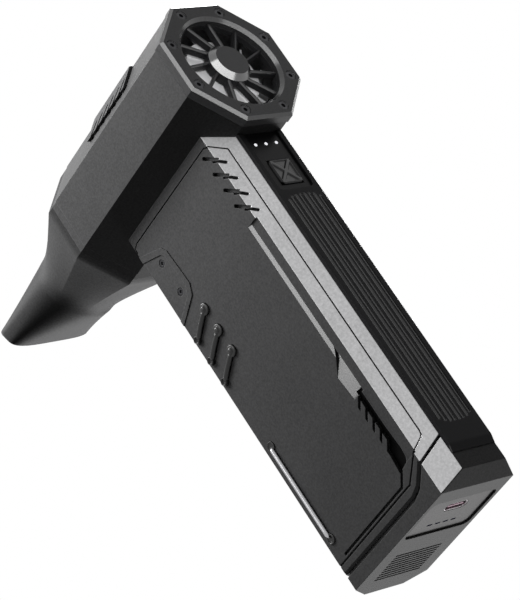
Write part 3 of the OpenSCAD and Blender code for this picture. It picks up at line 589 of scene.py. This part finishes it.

# ---- Handle shells ----
# Two mirrored shells of the barrel's nylon, with panel lines, a corner plate held by two screws,
# slanted slots over the rear edge and a serrated pocket low down, whose floor is a black pad that
# paints the shade deep in the pocket. The strip that runs down beside the silver corner leans a
# little and is polished.
shell_nylon = moulded("shell_nylon", (0.076, 0.076, 0.077), 0.42, polish=(0.17, 0.5, 0.037))
dress(shell_nylon, "handle_shell_left", "handle_shell_right")
dress(nylon, "corner_plate_left", "corner_plate_right", "foot_cap")
# The pocket's black pad is painted shade for the deep floor of the pocket.
pocket_shade_black = moulded("pocket_shade_black", (0.004, 0.004, 0.004), 0.6, wear_and_highlight=1.2, gloss=0.02)
dress(pocket_shade_black, "pocket_pad_left", "pocket_pad_right")

# ---- Silver corners ----
# Bead-blasted anodised aluminium let into the rear corners of the handle and its foot: a frame
# with an inlay on each side, and a corner piece below it.
silver = blasted("blasted_silver", (0.44, 0.44, 0.445), 0.42)
dress(silver, "edge_trim_left", "edge_trim_right", "foot_trim_left", "foot_trim_right")


# ---- Hoses ----
# Three short rubber hoses on each side run from a round knob down to a socket in the shell, and
# bow out a little on the way.
side_y = 14.6 * mm


def sweep(path, radius, sides=20):
    """Tube round a path on the handle's side; its radius may change and closes at 0.

    Each ring stands square to the path, on the directions across it and out of the side.
    """
    ahead = np.gradient(path, axis=0)
    ahead /= np.linalg.norm(ahead, axis=1, keepdims=True)
    across = np.cross(ahead, (0, -1, 0))
    across /= np.linalg.norm(across, axis=1, keepdims=True)
    out = np.cross(across, ahead)
    angle = np.linspace(0, 2 * np.pi, sides, endpoint=False)
    ring = across[:, None] * np.cos(angle)[:, None] + out[:, None] * np.sin(angle)[:, None]
    return path[:, None] + np.asarray(radius, float)[:, None, None] * ring


def boss(centre, profile, sides=32):
    """Round boss on the handle's side: profile rows are (radius, height over the side)."""
    radius, height = np.asarray(profile, float).T[:, :, None] * mm
    angle = np.linspace(0, 2 * np.pi, sides, endpoint=False)[None]
    return np.stack(
        (
            centre[0] + radius * np.cos(angle),
            -side_y - height + 0 * angle,
            centre[1] + radius * np.sin(angle),
        ),
        -1,
    )


def mirrored(parts):
    """The same parts on the handle's other side."""
    return [(points * (1, -1, 1), faces) for points, faces in parts]


knobs = [(-10 * mm, 91.9 * mm), (-10 * mm, 84.2 * mm), (-10 * mm, 76.6 * mm)]
hose_run = np.array((-8.6, 0, -4.4)) * mm
hose_r, hose_bow, hose_steps = 0.95 * mm, 0.22 * mm, 24
knob_profile = [(0, 1.3), (0.45, 1.28), (0.75, 1.18), (0.95, 0.95)]
knob_profile += [(1.05, 0.72), (1.5, 0.7), (1.75, 0.6), (1.85, 0.4)]
knob_profile += [(1.85, -1.1), (0, -1.1)]
socket_profile = [(0, 0.5), (0.7, 0.52), (0.85, 0.9), (1.0, 1.0)]
socket_profile += [(1.15, 0.95), (1.25, 0.75), (1.25, -1.1), (0, -1.1)]
hose_parts = []
along = np.linspace(0.05, 1, hose_steps)[:, None]
bow = np.sin(np.pi * along) * (0, -hose_bow, 0)
swell = hose_r * np.ones(hose_steps)
swell[[0, -1]] = 0
swell[[1, -2]] = 0.8 * hose_r
for knob_x, knob_z in knobs:
    route = np.array((knob_x, -side_y, knob_z)) + along * hose_run + bow
    hose_parts.append(solid(sweep(route, swell)))
    hose_parts.append(solid(boss((knob_x, knob_z), knob_profile)))
    hose_parts.append(solid(boss((knob_x + hose_run[0], knob_z + hose_run[2]), socket_profile)))
hose_rubber = moulded("hose_rubber", (0.006, 0.006, 0.006), 0.32, wear_and_highlight=1.2, gloss=0.4)
build("hoses_left", "housing", "hose", hose_rubber, hose_parts, "side_hoses_left")
build("hoses_right", "housing", "hose", hose_rubber, mirrored(hose_parts), "side_hoses_right")

# ---- Rods ----
# A bright drawn rod low on each side, let a little into the shell and held by a round rubber cup
# at either end.
rod_x, rod_r, rod_lift, rod_steps = -17.6 * mm, 0.7 * mm, 0.45 * mm, 24
rod_ends = np.array((15.6, 47.9)) * mm
cup_profile = [(0, 0.1), (0.9, 0.12), (1.1, 0.38), (1.3, 0.42)]
cup_profile += [(1.5, 0.34), (1.55, 0.15), (1.55, -1.1), (0, -1.1)]
height = np.linspace(*rod_ends, rod_steps)
rod_path = np.stack((0 * height + rod_x, 0 * height - side_y - rod_lift, height), -1)
rod_swell = rod_r * np.ones(rod_steps)
rod_swell[[0, -1]] = 0
rod_parts = [solid(sweep(rod_path, rod_swell))]
cup_parts = [solid(boss((rod_x, end), cup_profile)) for end in rod_ends]
drawn = blasted("drawn_rod", (0.4, 0.4, 0.41), 0.3, spread=0.15)
build("rod_left", "housing", "trim", drawn, rod_parts, "side_rod_left")
build("rod_right", "housing", "trim", drawn, mirrored(rod_parts), "side_rod_right")
build("rod_cups_left", "housing", "trim", hose_rubber, cup_parts)
build("rod_cups_right", "housing", "trim", hose_rubber, mirrored(cup_parts))

# ---- Rear grip ----
# A soft black strip moulded over the rear face, with eight long round-bottomed grooves and a
# sunk bay for the controls at its top.
grip_low, grip_high = (Vector(corner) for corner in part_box("rear_grip"))
groove_count, groove_pitch, groove_w, groove_depth = 8, 1.75 * mm, 0.56 * mm, 0.55 * mm
groove_low, groove_high = 17.3 * mm, 97.3 * mm
taper_run, side_fall = 2.4 * mm, 0.25 * mm
bay_w, bay_z, bay_corner, bay_wall, bay_floor = 6.6 * mm, 99.9 * mm, 1.5 * mm, 0.12 * mm, 0.05 * mm


def lines(*stretches):
    """Grid lines as one array from (start, end, count) stretches."""
    return np.unique(np.concatenate([np.linspace(*stretch) for stretch in stretches]).round(7))


def smooth(value, low, high):
    """Rises from 0 at low to 1 at high as 3 t^2 - 2 t^3."""
    t = np.clip((value - low) / (high - low), 0, 1)
    return t * t * (3 - 2 * t)


def grip_front(y, z):
    """Height of the strip over its back.

    It falls away at its sides and tapers at its lower end. Each groove is a capsule whose depth
    is 1 - (d / w)^4 of the full one, at d from its middle line, and the outer ones are shorter
    by 1.5 mm (y / 6.2 mm)^3 at each end. The bay is a rounded rectangle with a short sloping wall.
    """
    taper = np.clip((z - grip_low.z) / taper_run, 0, 1)
    height = (0.3 + 0.7 * taper) * (0.4 + 0.6 * smooth(grip_high.y - np.abs(y), 0, side_fall)) * mm
    for k in range(groove_count):
        middle = (k - (groove_count - 1) / 2) * groove_pitch
        drop = 1.5 * mm * (abs(middle) / (6.2 * mm)) ** 3
        past = np.maximum(0, np.maximum(groove_low + drop - z, z - groove_high + drop))
        distance = np.hypot(y - middle, past) / groove_w
        height = height - groove_depth * np.clip(1 - distance**4, 0, 1)
    inset_y = np.abs(y) - (bay_w - bay_corner)
    inset_z = (bay_z + bay_corner) - z
    past_corner = np.hypot(np.maximum(inset_y, 0), np.maximum(inset_z, 0))
    outside_bay = past_corner + np.minimum(np.maximum(inset_y, inset_z), 0)
    bay = 1 - smooth(outside_bay - bay_corner, -bay_wall, bay_wall)
    return grip_low.x + height - (height - bay_floor) * bay


# The lines lie closer together across the bay's walls and where the taper and the grooves end.
half_w, near = grip_high.y, 0.2 * mm
y_lines = lines((-half_w, half_w, 175), (-bay_w - near, -bay_w + near, 9), (bay_w - near, bay_w + near, 9))
z_lines = lines(
    (grip_low.z, grip_low.z + taper_run, 9),
    (grip_low.z, grip_high.z, 40),
    (16.4 * mm, 20 * mm, 30),
    (94.5 * mm, 98.3 * mm, 30),
    (bay_z - near, bay_z + 1.8 * mm, 22),
)
y, z = np.meshgrid(y_lines, z_lines)
front = np.stack((grip_front(y, z), y, z), -1)
rear = np.stack((grip_low.x + 0 * y, y, z), -1)
# The bay has no floor, so that the key can be pressed through it.
sunk = front[:, :, 0] < grip_low.x + 0.06 * mm
open_bay = sunk[:-1, :-1] & sunk[1:, :-1] & sunk[:-1, 1:] & sunk[1:, 1:]
grip_rubber = moulded(
    "grip_rubber", (0.016, 0.016, 0.017), 0.55, grain=0.0003, depth=0.000008, polish=(0.35, 0.92, 0)
)
grip_parts = [slab(front, rear, ~open_bay)]
ribbed_grip = build("ribbed_grip", "housing", "grip", grip_rubber, grip_parts, "rear_grip")
flag(soft_box("grip_light", (0.833, -0.395, 0.389), 0.3, 0.7), "INCLUDE", ribbed_grip)
dress(grip_rubber, "front_grip")

# ---- Controls ----
# In the grip's bay: a smooth black panel with three white lights, and a soft-cornered key whose
# raised bars cross from corner to corner. A tact switch and a board lie behind it.
panel_black = moulded("panel_black", (0.01, 0.01, 0.011), 0.35, wear_and_highlight=1.2)
dress(panel_black, "control_panel", "cell_holder")
dress(moulded("board_green", (0.02, 0.12, 0.06), 0.4), "control_board", "charge_board")
dress(steel, "button_switch")
key_low, key_high = (Vector(corner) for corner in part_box("power_button"))
key_w, key_h, key_z = 4.1 * mm, 4.3 * mm, (key_low.z + key_high.z) / 2
key_corner, key_depth = 1.1 * mm, 1.6 * mm
bar_slope, rim_slope, edge_slope = (0.42 * mm, 0.72 * mm), (0.45 * mm, 0.75 * mm), (0, 0.35 * mm)
quarter_depth, edge_drop = 0.38 * mm, 0.3 * mm


def key_front(y, z):
    """Height of the key's face: a rim, sunk quarters, and two bars that cross.

    The distance to a bar is the smaller of the distances to the two diagonals, and the face
    rounds off towards the key's edge.
    """
    slope = key_w / key_h
    rise = slope * (z - key_z)
    to_bar = np.minimum(np.abs(y - rise), np.abs(y + rise)) / np.hypot(1, slope)
    bar = 1 - smooth(to_bar, *bar_slope)
    edge = np.minimum(key_w - np.abs(y), key_h - np.abs(z - key_z))
    rim = 1 - smooth(edge, *rim_slope)
    sunk = quarter_depth * (1 - np.maximum(bar, rim))
    return key_high.x - sunk - edge_drop * (1 - smooth(edge, *edge_slope))


y, z = np.meshgrid(np.linspace(-key_w, key_w, 84), key_z + np.linspace(-key_h, key_h, 88))
corner_y = np.clip((np.abs(y) - (key_w - key_corner)) / key_corner, 0, 1)
corner_z = np.clip((np.abs(z - key_z) - (key_h - key_corner)) / key_corner, 0, 1)
shrink = key_corner * (1 - 1 / np.maximum(1, np.hypot(corner_y, corner_z)))
round_y = y - np.sign(y) * shrink * corner_y
round_z = z - np.sign(z - key_z) * shrink * corner_z
front = np.stack((key_front(y, z), round_y, round_z), -1)
rear = np.stack((0 * y + key_high.x - key_depth, round_y, round_z), -1)
key_nylon = moulded("key_nylon", (0.014, 0.014, 0.015), 0.34, wear_and_highlight=2.2, gloss=0.3)
build("x_key", "power_key", "panel", key_nylon, [slab(front, rear)], "power_button", sharp=60)


def lamp_lens(name, colour, glow):
    """Lit window: a matt lens that glows a little unevenly."""
    made = Finish(name, Roughness=0.3, Emission_Strength=glow, Specular_IOR_Level=0)
    cloud = made.noise(0.0006, 2)
    dull = tuple(c * 0.8 for c in colour)
    made.feed("Base Color", made.tint(dull, colour, cloud))
    made.feed("Emission Color", made.tint(dull, colour, cloud))
    return made.material


dress(lamp_lens("white_lens", (0.95, 0.96, 1.0), 1.0), "status_lights")

# ---- Foot panel ----
# A sunk grey panel in the foot with four dark bluish light windows and the USB-C socket: a drawn
# steel shell, coloured darker than the other steel as painted shade of the opening, round a
# pinkish contact tongue.
port_nylon = moulded("port_nylon", (0.12, 0.116, 0.118), 0.45)
dress(port_nylon, "charge_panel")
dress(lamp_lens("blue_lens", (0.006, 0.008, 0.04), 0.15), "charge_lights")
port_low, port_high = (Vector(corner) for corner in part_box("usb_socket"))
port_x = (port_low.x + port_high.x) / 2
port_r, port_half = (port_high.x - port_low.x) / 2, (port_high.y - port_low.y) / 2


def port_rings(grow, height):
    """Rounded bar outlines, one for each height: half circles about two centres across Y."""
    angle = np.linspace(0, 2 * np.pi, 64, endpoint=False)[None]
    radius = port_r + np.asarray(grow, float)[:, None]
    y = radius * np.sin(angle) + np.sign(np.sin(angle)) * (port_half - port_r)
    x = port_x + radius * np.cos(angle)
    return np.stack((x, y, np.asarray(height, float)[:, None] + 0 * angle), -1)


shell_t, edge_r, port_deep = 0.3 * mm, 0.08 * mm, 6 * mm
grow = np.array((-edge_r, 0, 0, -shell_t, -shell_t, -shell_t + edge_r))
rise = np.array((0, edge_r, port_deep, port_deep, edge_r, 0)) + port_low.z
# The shell's steel is a darker copy of the motor's steel: painted shade of the socket's opening.
port_shaded_steel = blasted("port_shaded_steel", (0.24, 0.22, 0.23), 0.35)
port_parts = [solid(port_rings(grow, rise), wrap_rows=True)]
build("port_shell", "housing", "steel", port_shaded_steel, port_parts, "usb_socket")
tongue_grow = np.array((-1.63, -1.3, -1.1, -1.1, -1.63)) * mm
tongue_rise = np.array((0.25, 0.25, 0.45, 6, 6)) * mm + port_low.z
tongue_nylon = moulded("tongue_nylon", (0.75, 0.42, 0.55), 0.35, wear_and_highlight=1.1)
build("port_tongue", "housing", "lights", tongue_nylon, [solid(port_rings(tongue_grow, tongue_rise))])

# ---- Battery ----
# Two sleeved 18650 cells side by side in black holders, and the leads from them up to the motor.
# None of them shows in the closed blower.
dress(moulded("cell_sleeve", (0.05, 0.15, 0.35), 0.35), "battery_cells")
dress(moulded("lead_sleeve", (0.3, 0.02, 0.02), 0.4), "motor_leads")
